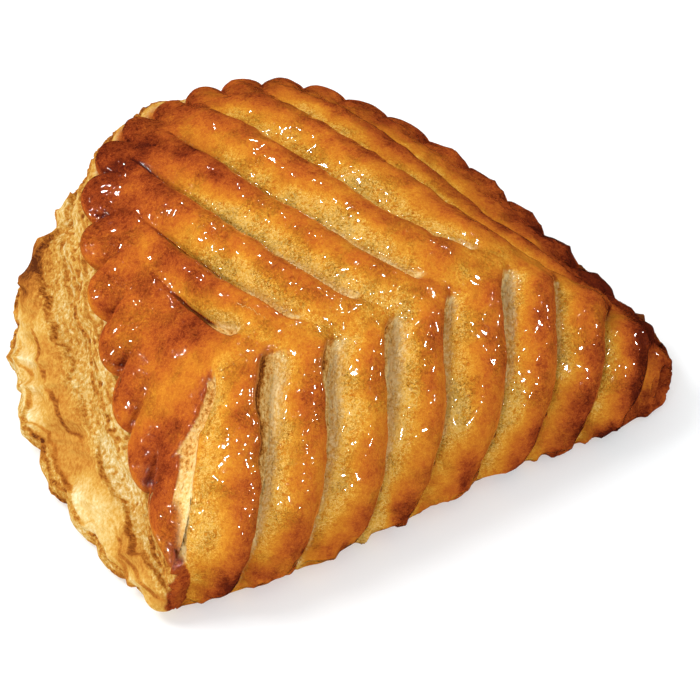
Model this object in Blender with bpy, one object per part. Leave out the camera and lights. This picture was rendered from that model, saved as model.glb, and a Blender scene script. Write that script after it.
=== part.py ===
"""Apple turnover: a half-moon of puff pastry, folded along its front and open in layers at its round edge.

The body is one closed solid. Its top is a grid of points laid over the glazed sheet, its side is a stack of
rings that go down the layered wall, and its underside is flat. The baker's leaf pattern is then cut into the
top, one blade for each slash. Lengths are in millimetres until a mesh is made. +Z is up, +X runs along the
fold and +Y goes from the fold to the round edge.
"""

import bpy
import numpy as np

MM = 0.001

# Plan of the lower sheet
FOLD_LENGTH = 130.0
DEPTH = 107.0
OUTLINE_POWER = 2.6
CENTRE = np.array([-2.0, 50.0])
# Front of the fold at even steps from the left corner to the right one
FOLD_FRONT = (-1.0, -5.0, -7.0, -7.5, -7.5, -7.5, -8.5, -9.5, -7.0)

# Edges of the two sheets, at even steps of the round edge from the left corner over the back to the right
RIM_HEIGHTS = (18.0, 31.0, 42.0, 46.0, 41.0, 31.0, 21.0, 13.0)
RIM_INSETS = (6.0, 14.5, 17.0, 14.5, 8.5, 6.5, 6.5, 5.0)
LIP_HEIGHTS = (1.0, 1.0, 5.0, 12.0, 9.0, 6.0, 4.0, 3.0)
LIP_INSETS = (4.0, 0.5, 0.5, 2.5, 1.0, 0.5, 0.5, 1.0)

# Dome of the top sheet along the fold
CROWN_X = (-66.0, -45.0, -20.0, 5.0, 28.0, 46.0, 66.0)
CROWN_HEIGHTS = (43.0, 47.0, 50.0, 50.0, 47.0, 41.0, 29.0)
DOME_POWER = 3.0
CORNER_BLEND = 5.0

# Fold and underside
# How far the fold curls under itself, at even steps from the left corner to the right one
TUCKS = (9.0, 9.0, 9.0, 8.0, 4.0)
UNDERSIDE_INSET = 10.0

# Scallops of the round edge: how many there are up to each even step of it
LOBE_COUNTS = (0.0, 3.0, 5.6, 8.1, 11.4, 15.2, 18.6, 22.0)
LOBES = 22
# How far the top sheet's scallops stand out, and how deep their notches are at the same even steps
LOBE_REACH = 2.2
LOBE_DEPTHS = (3.4, 4.2, 4.2, 3.4, 2.2, 1.4, 1.4, 1.8)
LIP_LOBE_DEPTH = 2.0
LOBE_ROUNDNESS = 0.65
# A corner of the lower sheet that stuck out of the wall: its place and half its width counted in scallops,
# and how far it stands out
FLAP_PLACE = 6.3
FLAP_HALF_WIDTH = 0.7
FLAP_REACH = 3.5
# Under the rim at the back left the layers swelled out: the middle and the width of that place counted in
# scallops, and how far they stand out
SWELL_PLACE = 9.0
SWELL_WIDTH = 1.3
SWELL_REACH = 7.5

# Leaf pattern: its spine, and where each vein leaves the spine
SPINE_X = (-60.0, -38.0, -25.0, -13.0, 2.0, 16.0, 32.0, 44.0, 56.0, 66.0)
SPINE_Y = (30.0, 24.0, 19.0, 15.0, 14.0, 14.0, 16.0, 14.0, 6.0, 2.0)
FRONT_VEINS = (-37.0, -25.0, -13.0, 2.0, 16.0, 32.0, 44.0, 54.0)
BACK_VEINS = (-28.0, -15.0, 0.0, 15.0, 31.5, 49.0, 63.0)
# How far over the surface from the spine each back slash starts and ends
BACK_STARTS = (6.0, 5.0, 5.0, 4.0, 5.0, 15.0, 40.0)
BACK_ENDS = (26.0, 46.0, 68.0, 70.0, 68.0, 68.0, 62.0)
FRONT_START = -1.5
FRONT_END_LEVEL = 6.0
FRONT_SWEEP = 0.42
GIRTH_SCALE = 0.8
BACK_SWEEP = 0.17
BACK_HOOK = 8.0
BACK_HOOK_LENGTH = 10.0
# How strongly veins drift, against where they leave the spine
BACK_FAN_X = (-45.0, -30.0, -15.0, 0.0, 31.0, 60.0)
BACK_FAN = (0.2, 0.35, 0.75, 1.0, 1.3, 1.35)
FRONT_FAN_X = (-60.0, -37.0, -25.0, -13.0)
FRONT_FAN = (2.0, 1.7, 1.2, 1.0)

# Pillows between the veins, and the slashes along them
RIB_HEIGHT = 1.8
RIB_LEAN = 1.45
SLASH_HALF_WIDTH = 1.5
SLASH_DEPTH = 2.6
# Share of a slash over which its far end narrows to nothing
FRONT_TAPER = 0.3
BACK_TAPER = 0.8
BLADE_STEP = 5.0
BLADE_ABOVE = 1.6

# Mesh density
GRID = 44
COLUMNS = 4 * GRID
ARC_COLUMNS = 6 * LOBES
FINE = 15
CORNER_SMOOTHING = 1.1

CRUST_COLOUR = (0.56, 0.23, 0.045, 1.0)


def smooth_ring(values, columns):
    """Rounds a closed ring of samples with a bell curve that is so many columns wide."""
    count = len(values)
    frequency = np.fft.fftfreq(count)
    bell = np.exp(-2.0 * (np.pi * frequency * columns * FINE) ** 2)
    if values.ndim > 1:
        bell = bell[:, None]
    return np.real(np.fft.ifft(np.fft.fft(values, axis=0) * bell, axis=0))


def along(values, share):
    """A smooth curve through evenly spaced values, read at a share from 0 to 1."""
    steps = len(values) - 1
    before = 2 * values[0] - values[1]
    after = 2 * values[-1] - values[-2]
    padded = np.array([before, *values, after], float)
    position = np.clip(share, 0.0, 1.0) * steps
    index = np.minimum(position.astype(int), steps - 1)
    part = position - index
    a, b, c, d = (padded[index + k] for k in range(4))
    return b + 0.5 * part * (c - a + part * (2 * a - 5 * b + 4 * c - d + part * (3 * (b - c) + d - a)))


class Edge:
    """What varies round the turnover's edge, sampled finely and read at any column."""

    def __init__(self):
        arc_count = ARC_COLUMNS * FINE
        self.count = COLUMNS * FINE
        step = np.linspace(0.0, 1.0, 500)
        arc_share = np.interp(np.arange(arc_count) / arc_count * LOBES, along(LOBE_COUNTS, step), step)
        fold_share = np.arange(self.count - arc_count) / (self.count - arc_count)
        self.share = np.concatenate([arc_share, 1 - fold_share])
        self.on_arc = np.arange(self.count) < arc_count
        plan = np.concatenate([self.arc(arc_share), self.fold(1 - fold_share)])
        self.outline = smooth_ring(plan, CORNER_SMOOTHING)
        self.reach = np.linalg.norm(self.outline - CENTRE, axis=1)
        self.arc_weight = smooth_ring(self.on_arc.astype(float), 1.0)
        self.back_weight = smooth_ring(self.on_arc.astype(float), CORNER_BLEND)
        self.rim_height = self.stations(RIM_HEIGHTS)
        self.lip_height = self.stations(LIP_HEIGHTS)
        self.rim_inset = self.stations(RIM_INSETS) * self.arc_weight
        self.lip_inset = self.stations(LIP_INSETS)
        self.tuck = along(TUCKS, self.share)
        self.lobe_place = np.arange(self.count) / arc_count * LOBES
        self.scallops = (LOBE_REACH + self.stations(LOBE_DEPTHS) * (self.wave() - 1)) * self.arc_weight

    def arc(self, share):
        """Plan of the round edge: half of a squarish oval, by length from the left corner."""
        angle = np.linspace(np.pi, 0.0, 4001)
        cosine, sine = np.cos(angle), np.sin(angle)
        x = FOLD_LENGTH / 2 * np.sign(cosine) * np.abs(cosine) ** (2 / OUTLINE_POWER)
        y = DEPTH * np.abs(sine) ** (2 / OUTLINE_POWER)
        length = np.concatenate([[0.0], np.cumsum(np.hypot(np.diff(x), np.diff(y)))])
        wanted = share * length[-1]
        return np.stack([np.interp(wanted, length, x), np.interp(wanted, length, y)], 1)

    def fold(self, share):
        """Plan of the fold's front, bowed out by FOLD_FRONT."""
        return np.stack([FOLD_LENGTH * (share - 0.5), along(FOLD_FRONT, share)], 1)

    def stations(self, values):
        """Station values along the round edge, and an even run between the end values along the fold."""
        on_fold = values[0] + (values[-1] - values[0]) * self.share
        return smooth_ring(np.where(self.on_arc, along(values, self.share), on_fold), 1.6)

    def wave(self, shift=0.0):
        """0 in the notches between the scallops and 1 on their crests."""
        return np.abs(np.sin(np.pi * (self.lobe_place + shift))) ** LOBE_ROUNDNESS

    def lobes(self, shift=0.0):
        """The same on the round edge, and 0 all along the fold."""
        return self.wave(shift) * self.arc_weight

    def flap(self):
        """How far the corner of the lower sheet stands out: most at its middle, and 0 beyond its ends."""
        away = np.abs(self.lobe_place - FLAP_PLACE)
        return FLAP_REACH * np.maximum(1 - away / FLAP_HALF_WIDTH, 0.0)

    def swell(self):
        """How far the layers under the rim stand out at the back left."""
        return SWELL_REACH * np.exp(-0.5 * ((self.lobe_place - SWELL_PLACE) / SWELL_WIDTH) ** 2)

    def ring(self, inset, height, outward=0.0):
        """The outline drawn in towards the centre by inset and out again by outward, at a height."""
        share = 1 - (inset - outward) / self.reach
        plan = CENTRE + (self.outline - CENTRE) * share[:, None]
        return np.concatenate([plan, np.broadcast_to(height, share.shape)[:, None]], 1)

    def read(self, values, column):
        """Values of the fine samples at columns, which may be fractions."""
        position = np.mod(column, COLUMNS) * FINE
        index = position.astype(int) % self.count
        part = position - np.floor(position)
        if values.ndim > 1:
            part = part[..., None]
        return values[index] * (1 - part) + values[(index + 1) % self.count] * part


EDGE = Edge()


def side_rings():
    """The rings from the top sheet's rim down the wall, round the lip and in to the underside."""
    rim, lip, inset, lip_inset = EDGE.rim_height, EDGE.lip_height, EDGE.rim_inset, EDGE.lip_inset
    drop = rim - lip
    lobe, half_lobe, scallop = EDGE.lobes(), EDGE.lobes(0.5), EDGE.scallops
    flap, swell = EDGE.flap(), EDGE.swell()
    rows = (
        # inset and height on the wall, scallop, share of the rim's height on the fold
        (inset, rim, scallop, 1.0),
        (inset - 0.5, rim - 2.3, scallop, 0.87),
        (inset + 1.5, rim - 4.2, 0.6 * scallop + swell, 0.76),
        (0.86 * inset - 0.4, rim - 0.28 * drop, 1.0 * half_lobe + swell, 0.62),
        (0.66 * inset + 0.6, rim - 0.44 * drop, 0.2 * lobe + 0.2 * flap + 0.7 * swell, 0.51),
        (0.40 * inset - 0.2, rim - 0.56 * drop, 0.5 * half_lobe + flap + 0.4 * swell, 0.41),
        (0.12 * inset + 0.3, rim - 0.80 * drop, 0.5 * lobe + 0.5 * flap, 0.31),
        (lip_inset + 0.3, lip + 4.0, LIP_LOBE_DEPTH * lobe, 0.21),
        (lip_inset, lip + 1.2, LIP_LOBE_DEPTH * lobe, 0.12),
        (5.0, 0.45 * lip, 0.0, 0.04),
        (UNDERSIDE_INSET, 0.0 * lip, 0.0, 0.0),
    )
    arc = EDGE.arc_weight
    rings = []
    for wall_inset, wall_height, outward, fold_share in rows:
        fold_inset = EDGE.tuck * (1 - np.sqrt(1 - (1 - fold_share) ** 2))
        inset_here = wall_inset * arc + fold_inset * (1 - arc)
        height = wall_height * arc + fold_share * rim * (1 - arc)
        rings.append(EDGE.ring(inset_here, height, outward))
    return rings


SIDE = side_rings()
PLAIN_RIM = EDGE.ring(EDGE.rim_inset, EDGE.rim_height)


def crown(x):
    """Height of the dome above the table."""
    return np.interp(x, CROWN_X, CROWN_HEIGHTS)


def top_point(column, reach):
    """A point of the smooth top sheet: reach is 0 at the centre and 1 on the rim."""
    plain = EDGE.read(PLAIN_RIM, column)
    scalloped = EDGE.read(SIDE[0], column)
    near_rim = np.clip((reach - 0.8) / 0.2, 0.0, 1.0)[..., None] ** 2
    rim = plain + (scalloped - plain) * near_rim
    plan = CENTRE + reach[..., None] * (rim[..., :2] - CENTRE)
    roundness = 0.5 + 0.5 * EDGE.read(EDGE.back_weight, column)
    fullness = (1 - np.minimum(reach, 1.0) ** DOME_POWER) ** roundness
    height = rim[..., 2] + (crown(plan[..., 0]) - rim[..., 2]) * fullness
    return np.concatenate([plan, height[..., None]], -1)


def side_point(column, level):
    """A point of the side: level is 0 on the rim and counts the rings down from it."""
    index = int(min(level, len(SIDE) - 2))
    part = level - index
    return EDGE.read(SIDE[index], column) * (1 - part) + EDGE.read(SIDE[index + 1], column) * part


def vein_offset(start, girth):
    """How far along X a vein has drifted from its start, at a distance over the surface from the spine."""
    back = np.maximum(girth, 0.0)
    hook = BACK_HOOK * (1 - np.exp(-back / BACK_HOOK_LENGTH))
    front = FRONT_SWEEP * np.maximum(-girth, 0.0) * np.interp(start, FRONT_FAN_X, FRONT_FAN)
    return front + (BACK_SWEEP * back + hook) * np.interp(start, BACK_FAN_X, BACK_FAN)


def leaf_coordinates(points):
    """Where points lie in the leaf pattern: the place on the spine that their vein starts from, and how far
    they are from the spine over the surface, positive to the back."""
    x, y, z = points[..., 0], points[..., 1], points[..., 2]
    start = x
    for _ in range(6):
        away = y - np.interp(start, SPINE_X, SPINE_Y)
        front = GIRTH_SCALE * (-away + np.maximum(crown(x) - z, 0.0))
        girth = np.where(away >= 0, away, -front)
        start = x + vein_offset(start, girth)
    return start, girth


def rib_relief(points, reach):
    """Height of the pillows between the veins: each rises slowly from its vein and drops to the next."""
    start, girth = leaf_coordinates(points)

    def pillow(veins):
        first, last = 2 * veins[0] - veins[1], 2 * veins[-1] - veins[-2]
        place = np.interp(start, (first, *veins, last), np.arange(len(veins) + 2))
        part = place - np.floor(place)
        return np.sin(np.pi * part**RIB_LEAN) ** 0.8

    back = 0.5 + 0.5 * np.tanh(girth / 3.0)
    swell = pillow(FRONT_VEINS) * (1 - back) + pillow(BACK_VEINS) * back
    off_spine = np.clip(np.abs(girth - 1.0) / 8.0, 0.1, 1.0)
    off_rim = np.clip((1 - reach) / 0.12, 0.0, 1.0)
    off_foot = np.clip(points[..., 2] / 14.0, 0.0, 1.0)
    return RIB_HEIGHT * (swell - 0.6) * off_spine * np.where(girth >= 0, off_rim, off_foot)


def disc_grid():
    """A square grid laid over a disc: the column and reach of each grid point."""
    line = np.linspace(-1.0, 1.0, GRID + 1)
    a, b = np.meshgrid(line, line, indexing="ij")
    reach = np.maximum(np.abs(a), np.abs(b))
    safe = np.maximum(reach, 1e-9)
    s, t = a / safe, b / safe
    sides = [(t <= -1) & (s < 1), (s >= 1) & (t < 1), (t >= 1) & (s > -1)]
    turn = np.select(sides, [(s + 1) / 8, 0.25 + (t + 1) / 8, 0.5 + (1 - s) / 8], 0.75 + (1 - t) / 8)
    return np.mod(turn, 1.0) * COLUMNS, reach


def top_grid():
    column, reach = disc_grid()
    points = top_point(column, reach)
    points[..., 2] += rib_relief(points, reach)
    return points


def body_mesh():
    """Vertices and faces of the closed body."""
    points = [top_grid().reshape(-1, 3)]
    index = np.arange((GRID + 1) ** 2).reshape(GRID + 1, GRID + 1)
    corners = index[:-1, :-1], index[:-1, 1:], index[1:, 1:], index[1:, :-1]
    faces = np.stack(corners, -1).reshape(-1, 4).tolist()
    upper = np.concatenate([index[:-1, 0], index[-1, :-1], index[:0:-1, -1], index[0, :0:-1]])
    columns = np.arange(COLUMNS)
    for ring in SIDE[1:]:
        lower = sum(len(part) for part in points) + columns
        points.append(EDGE.read(ring, columns.astype(float)))
        faces += np.stack([upper, np.roll(upper, -1), np.roll(lower, -1), lower], 1).tolist()
        upper = lower
    faces.append(upper.tolist())
    return np.concatenate(points), faces


def front_path(vein):
    """Points of the smooth surface down a front slash, from just off the spine to the foot of the fold."""
    columns = np.linspace(ARC_COLUMNS + 0.5, COLUMNS + 7.0, 900)
    fold_columns = columns[columns < COLUMNS - 0.5]
    lines = [top_point(columns, np.full_like(columns, reach)) for reach in np.linspace(0.35, 0.995, 60)]
    lines += [side_point(fold_columns, level) for level in np.linspace(0.2, FRONT_END_LEVEL, 20)]
    path = []
    for line in lines:
        start, girth = leaf_coordinates(line)
        crossings = np.nonzero((start[:-1] > vein) & (start[1:] <= vein))[0]
        if len(crossings) and girth[crossings[0]] < FRONT_START:
            path.append(line[crossings[0]])
    return np.array(path)


def surface_height(x, y):
    """Height of the smooth top sheet above a plan point, found by its direction from the centre."""
    direction = PLAIN_RIM[:, :2] - CENTRE
    bearing = np.unwrap(np.arctan2(direction[:, 1], direction[:, 0]))[::-1]
    wanted = np.arctan2(y - CENTRE[1], x - CENTRE[0])
    wanted = bearing[0] + np.mod(wanted - bearing[0], 2 * np.pi)
    column = np.interp(wanted, bearing, np.arange(EDGE.count)[::-1] / FINE)
    rim = EDGE.read(PLAIN_RIM, column)
    reach = np.hypot(x - CENTRE[0], y - CENTRE[1]) / np.linalg.norm(rim[..., :2] - CENTRE, axis=-1)
    return top_point(column, reach)[..., 2]


def back_path(vein, first, last):
    """Points of the smooth surface up a back slash, from near the spine towards the rim."""
    girth = np.linspace(first, last, 80)
    x = vein - vein_offset(np.full_like(girth, vein), girth)
    y = np.interp(vein, SPINE_X, SPINE_Y) + girth
    return np.stack([x, y, surface_height(x, y)], 1)


def even_steps(path, steps):
    """The same path with evenly spaced points."""
    length = np.concatenate([[0.0], np.cumsum(np.linalg.norm(np.diff(path, axis=0), axis=1))])
    wanted = np.linspace(0.0, length[-1], steps + 1)
    return np.stack([np.interp(wanted, length, path[:, k]) for k in range(3)], 1)


def blade_mesh(path, widths, depths):
    """A blade along a path on the surface: a tapering wedge that stands proud of the crust."""
    forward = np.gradient(path, axis=0)
    forward /= np.linalg.norm(forward, axis=1)[:, None]
    outward = path - np.array([path[:, 0].mean(), 30.0, 5.0])
    outward[:, 0] = 0.0
    across = np.cross(forward, outward)
    across /= np.linalg.norm(across, axis=1)[:, None]
    normal = np.cross(across, forward)
    wide, deep = widths[:, None], depths[:, None]
    corners = (
        path - 1.5 * wide * across + BLADE_ABOVE * normal,
        path + 1.5 * wide * across + BLADE_ABOVE * normal,
        path + 0.35 * wide * across - deep * normal,
        path - 0.35 * wide * across - deep * normal,
    )
    points = np.stack(corners, 1).reshape(-1, 3)
    count = len(path)
    faces = [[4 * i + k, 4 * i + (k + 1) % 4, 4 * i + 4 + (k + 1) % 4, 4 * i + 4 + k]
             for i in range(count - 1) for k in range(4)]
    faces += [[3, 2, 1, 0], [4 * count - 4 + k for k in range(4)]]
    return points, faces


def slash_blades():
    """One blade for each slash of the leaf pattern."""
    slashes = [(front_path(vein), FRONT_TAPER) for vein in FRONT_VEINS]
    slashes += [(back_path(*slash), BACK_TAPER) for slash in zip(BACK_VEINS, BACK_STARTS, BACK_ENDS)]
    blades = []
    for path, tail in slashes:
        length = np.linalg.norm(np.diff(path, axis=0), axis=1).sum()
        steps = max(5, round(length / BLADE_STEP))
        share = np.linspace(0.0, 1.0, steps + 1)
        taper = np.clip(np.minimum(share / 0.14, (1.0 - share) / tail), 0.12, 1.0) ** 0.7
        blades.append(blade_mesh(even_steps(path, steps), SLASH_HALF_WIDTH * taper, SLASH_DEPTH * taper))
    return blades


def crust_material():
    material = bpy.data.materials.new("baked_crust")
    material.use_nodes = True
    shader = material.node_tree.nodes["Principled BSDF"]
    shader.inputs["Base Color"].default_value = CRUST_COLOUR
    shader.inputs["Roughness"].default_value = 0.35
    shader.inputs["Metallic"].default_value = 0.0
    material.diffuse_color = CRUST_COLOUR
    return material


def box_centre():
    """Middle of the body's plan box, which becomes the origin."""
    points = body_mesh()[0]
    return np.array([*(points.min(0) + points.max(0))[:2] / 2, 0.0])


def make_object(name, points, faces):
    mesh = bpy.data.meshes.new(name)
    mesh.from_pydata((points * MM).tolist(), [], faces)
    mesh.update()
    obj = bpy.data.objects.new(name, mesh)
    bpy.context.scene.collection.objects.link(obj)
    return obj


def cut(body, cutter):
    """Takes the cutter out of the body, both split into flat triangles first."""
    cutter.hide_render = True
    cutter.display_type = "WIRE"
    for obj in (body, cutter):
        obj.modifiers.new("flat_faces", "TRIANGULATE")
    boolean = body.modifiers.new("slashes", "BOOLEAN")
    boolean.operation = "DIFFERENCE"
    boolean.solver = "EXACT"
    boolean.object = cutter


def joined(meshes):
    """Vertices and faces of several meshes as one."""
    points, faces = [], []
    for some_points, some_faces in meshes:
        first = sum(len(part) for part in points)
        points.append(some_points)
        faces += [[first + corner for corner in face] for face in some_faces]
    return np.concatenate(points), faces


def main():
    for obj in list(bpy.data.objects):
        bpy.data.objects.remove(obj)
    origin = box_centre()
    points, faces = body_mesh()
    body = make_object("apple_turnover", points - origin, faces)
    body.data.materials.append(crust_material())
    body.data.shade_smooth()
    body.data.set_sharp_from_angle(angle=np.radians(50.0))
    points, faces = joined(slash_blades())
    cut(body, make_object("slash_blades", points - origin, faces))
    return origin


ORIGIN = main()
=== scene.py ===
"""Looks of the apple turnover: the CAD solid's form again as one fine mesh, with glaze, slashes and layers.

Lengths are millimetres until a mesh is made. +Z is up, +X runs along the fold, and +Y from the fold to the
round edge.
"""

import math

import bpy
import numpy as np
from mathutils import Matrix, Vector


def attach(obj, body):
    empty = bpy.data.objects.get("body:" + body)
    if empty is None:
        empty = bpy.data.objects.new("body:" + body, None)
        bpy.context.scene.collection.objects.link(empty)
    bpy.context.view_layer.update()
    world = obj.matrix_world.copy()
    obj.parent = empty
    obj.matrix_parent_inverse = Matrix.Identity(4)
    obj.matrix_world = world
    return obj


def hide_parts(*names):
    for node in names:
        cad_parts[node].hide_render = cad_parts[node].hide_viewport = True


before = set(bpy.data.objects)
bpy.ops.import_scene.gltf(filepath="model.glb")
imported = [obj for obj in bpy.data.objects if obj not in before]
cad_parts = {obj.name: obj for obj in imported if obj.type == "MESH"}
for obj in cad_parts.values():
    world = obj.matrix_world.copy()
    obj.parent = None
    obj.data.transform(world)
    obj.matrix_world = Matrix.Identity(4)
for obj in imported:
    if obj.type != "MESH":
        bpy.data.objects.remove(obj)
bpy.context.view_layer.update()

MM = 0.001
NODE = "apple_turnover"

# ---- Driving sizes of the form, as in the CAD model ----

# Plan of the lower sheet
FOLD_LENGTH = 130.0
DEPTH = 107.0
OUTLINE_POWER = 2.6
CENTRE = np.array([-2.0, 50.0])
# Front of the fold, and how far it curls under itself, at even steps from the left corner to the right one
FOLD_FRONT = (-1.0, -5.0, -7.0, -7.5, -7.5, -7.5, -8.5, -9.5, -7.0)
TUCKS = (9.0, 9.0, 9.0, 8.0, 4.0)

# Edges of the two sheets, at even steps of the round edge from the left corner over the back to the right one
RIM_HEIGHTS = (18.0, 31.0, 42.0, 46.0, 41.0, 31.0, 21.0, 13.0)
RIM_INSETS = (6.0, 14.5, 17.0, 14.5, 8.5, 6.5, 6.5, 5.0)
LIP_HEIGHTS = (1.0, 1.0, 5.0, 12.0, 9.0, 6.0, 4.0, 3.0)
LIP_INSETS = (4.0, 0.5, 0.5, 2.5, 1.0, 0.5, 0.5, 1.0)
UNDERSIDE_INSET = 10.0

# Dome of the top sheet along the fold
CROWN_X = (-66.0, -45.0, -20.0, 5.0, 28.0, 46.0, 66.0)
CROWN_HEIGHTS = (43.0, 47.0, 50.0, 50.0, 47.0, 41.0, 29.0)
DOME_POWER = 3.0

# Scallops of the round edge: how many there are up to each even step of it
LOBE_COUNTS = (0.0, 3.0, 5.6, 8.1, 11.4, 15.2, 18.6, 22.0)
LOBES = 22
LOBE_REACH = 2.2
# How deep the notches between the top sheet's scallops are, at the same even steps
LOBE_DEPTHS = (3.4, 4.2, 4.2, 3.4, 2.2, 1.4, 1.4, 1.8)
LIP_LOBE_DEPTH = 2.0
LOBE_ROUNDNESS = 0.65
# A corner of the lower sheet that stuck out and browned: its place counted in scallops, half its width in
# scallops, and how far it stands out
FLAP_PLACE = 6.3
FLAP_HALF_WIDTH = 0.7
FLAP_REACH = 3.5
# Under the rim at the back left the layers swelled out: the middle and the width of that place counted in
# scallops, and how far they stand out
BACK_SWELL_PLACE = 9.0
BACK_SWELL_WIDTH = 1.3
BACK_SWELL_REACH = 7.5

# Leaf pattern: its spine, where each vein leaves the spine, and how far off the spine a back slash starts and
# ends
SPINE_X = (-60.0, -38.0, -25.0, -13.0, 2.0, 16.0, 32.0, 44.0, 56.0, 66.0)
SPINE_Y = (30.0, 24.0, 19.0, 15.0, 14.0, 14.0, 16.0, 14.0, 6.0, 2.0)
FRONT_VEINS = (-37.0, -25.0, -13.0, 2.0, 16.0, 32.0, 44.0, 54.0)
BACK_VEINS = (-28.0, -15.0, 0.0, 15.0, 31.5, 49.0, 63.0)
BACK_STARTS = (6.0, 5.0, 5.0, 4.0, 5.0, 15.0, 40.0)
BACK_ENDS = (26.0, 46.0, 68.0, 70.0, 68.0, 68.0, 62.0)
FRONT_START = 1.5
FRONT_SWEEP = 0.42
GIRTH_SCALE = 0.8
BACK_SWEEP = 0.17
BACK_HOOK = 8.0
BACK_HOOK_LENGTH = 10.0
BACK_FAN_X = (-45.0, -30.0, -15.0, 0.0, 31.0, 60.0)
BACK_FAN = (0.2, 0.35, 0.75, 1.0, 1.3, 1.35)
FRONT_FAN_X = (-60.0, -37.0, -25.0, -13.0)
FRONT_FAN = (2.0, 1.7, 1.2, 1.0)

# Relief of the crust
RIB_HEIGHT = 3.3
RIB_LEAN = 1.6
# Half the width of each front slash at the spine and at the foot, and of a back slash where it gapes and
# beyond
FRONT_HALF_WIDTHS = (
    (1.2, 1.0),
    (2.5, 1.1),
    (2.1, 0.9),
    (2.3, 0.7),
    (1.3, 0.6),
    (1.7, 0.6),
    (0.9, 0.5),
    (0.7, 0.4),
)
BACK_HALF_WIDTHS = (1.3, 0.55)
SLASH_DEPTH = 3.0
# Heights between which the first front slash fades out as a groove, and as bared layers
FIRST_GROOVE_FADE = (13.0, 26.0)
FIRST_BARED_FADE = (9.0, 15.0)
NOTCH_DEPTH = 1.1
# Over this distance in front of the spine, girth takes in the fall of the surface
SPINE_EASE = 9.0

# Where the crust browned more, or less: a point there, its radius, and how much darker the crust is
BROWNED = (
    ((-54.0, 18.0, 28.0), 6.0, 0.26),
    ((-61.0, 6.0, 13.0), 8.0, -0.16),
    ((-53.0, 1.0, 4.0), 8.0, 0.20),
    ((-44.0, -1.0, 18.0), 11.0, 0.13),
    ((-29.0, 74.0, 46.0), 7.0, 0.16),
    ((-16.0, 88.0, 45.0), 20.0, 0.22),
    ((-48.0, 40.0, 34.0), 18.0, 0.13),
    ((62.0, 6.0, 10.0), 20.0, 0.26),
)

# Upper edges of the torn layers in the wall: how far down the wall, how far the layer stands out, over what
# length below its edge, and how much the edge wanders
LEDGES = (
    (0.14, 1.1, 1.6, 0.025),
    (0.20, 1.1, 2.0, 0.035),
    (0.27, 1.0, 2.0, 0.040),
    (0.34, 1.3, 2.5, 0.045),
    (0.41, 1.5, 3.0, 0.050),
    (0.49, 2.4, 8.0, 0.055),
    (0.60, 1.0, 5.0, 0.060),
    (0.75, 1.4, 2.4, 0.035),
    (0.80, 1.3, 2.0, 0.030),
    (0.85, 1.1, 1.6, 0.020),
)

# The wall's folds slant along its length: how each axis counts in their pattern
WALL_SLANT = np.array([[0.55, 0.15, 0.3], [0.15, 0.55, 0.4], [0.7, 0.7, 0.5]])

# Fine mesh; the CAD model's smoothing widths are in its own, wider columns
GRID = 360
COLUMNS = 4 * GRID
ARC_COLUMNS = round(COLUMNS * 0.75)
SAMPLES = 2
CAD_COLUMNS = 176
WALL_ROWS = 150

# ---- Camera ----

CAMERA_TURN = math.radians(-34.5)
CAMERA_LIFT = math.radians(43.5)
CAMERA_DISTANCE = 0.75
FOCAL_PIXELS = 3480.0
PICTURE_SIDE = 700.0
# A point near the turnover's middle, and where the photograph shows it
AIM = (0.0, 40.0, 20.0)
AIM_PIXEL = (318.0, 327.0)


def smoothstep(low, high, value):
    t = np.clip((value - low) / (high - low), 0.0, 1.0)
    return t * t * (3 - 2 * t)


def bell(value, width):
    return np.exp(-0.5 * (value / width) ** 2)


class Noise:
    """Smooth random values over space, from a seeded lattice."""

    def __init__(self, seed):
        self.lattice = np.random.default_rng(seed).random((32, 32, 32))

    def __call__(self, points, size):
        """One octave, from -1 to 1, whose features have that size."""
        cell = points / size
        corner = np.floor(cell).astype(int)
        part = cell - corner
        part = part * part * (3 - 2 * part)
        total = 0.0
        for bits in range(8):
            step = np.array([bits & 1, bits >> 1 & 1, bits >> 2 & 1])
            weight = np.prod(np.where(step, part, 1 - part), axis=-1)
            index = (corner + step) % 32
            total = total + weight * self.lattice[index[..., 0], index[..., 1], index[..., 2]]
        return 2 * total - 1

    def layered(self, points, size, octaves=3):
        total = sum(self(points + 7.3 * k, size / 2**k) / 2**k for k in range(octaves))
        return total / (2 - 0.5 ** (octaves - 1))


LUMPS, MOTTLE, BAKING, WANDER = (Noise(seed) for seed in (11, 23, 37, 51))


def smooth_ring(values, cad_columns):
    """Rounds a closed ring of samples with a bell curve, its width in columns of the CAD model."""
    count = len(values)
    curve = np.exp(-2.0 * (np.pi * np.fft.fftfreq(count) * cad_columns * count / CAD_COLUMNS) ** 2)
    if values.ndim > 1:
        curve = curve[:, None]
    return np.real(np.fft.ifft(np.fft.fft(values, axis=0) * curve, axis=0))


def along(values, share):
    """A smooth curve through evenly spaced values or rows of values, read at shares from 0 to 1."""
    values = np.asarray(values, float)
    steps = len(values) - 1
    padded = np.concatenate([[2 * values[0] - values[1]], values, [2 * values[-1] - values[-2]]])
    position = np.clip(share, 0.0, 1.0) * steps
    index = np.minimum(position.astype(int), steps - 1)
    part = (position - index).reshape(position.shape + (1,) * (values.ndim - 1))
    a, b, c, d = (padded[index + k] for k in range(4))
    return b + 0.5 * part * (c - a + part * (2 * a - 5 * b + 4 * c - d + part * (3 * (b - c) + d - a)))


def rounded_line(x, places, values, width):
    """A line through named places, its corners rounded over a width."""
    fine = np.linspace(-70.0, 70.0, 281)
    reach = int(6 * width)
    rough = np.pad(np.interp(fine, places, values), reach, mode="reflect", reflect_type="odd")
    kernel = bell(np.arange(-reach, reach + 1) * (fine[1] - fine[0]), width)
    return np.interp(x, fine, np.convolve(rough, kernel / kernel.sum(), "valid"))


# ---- Edge ----


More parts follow.
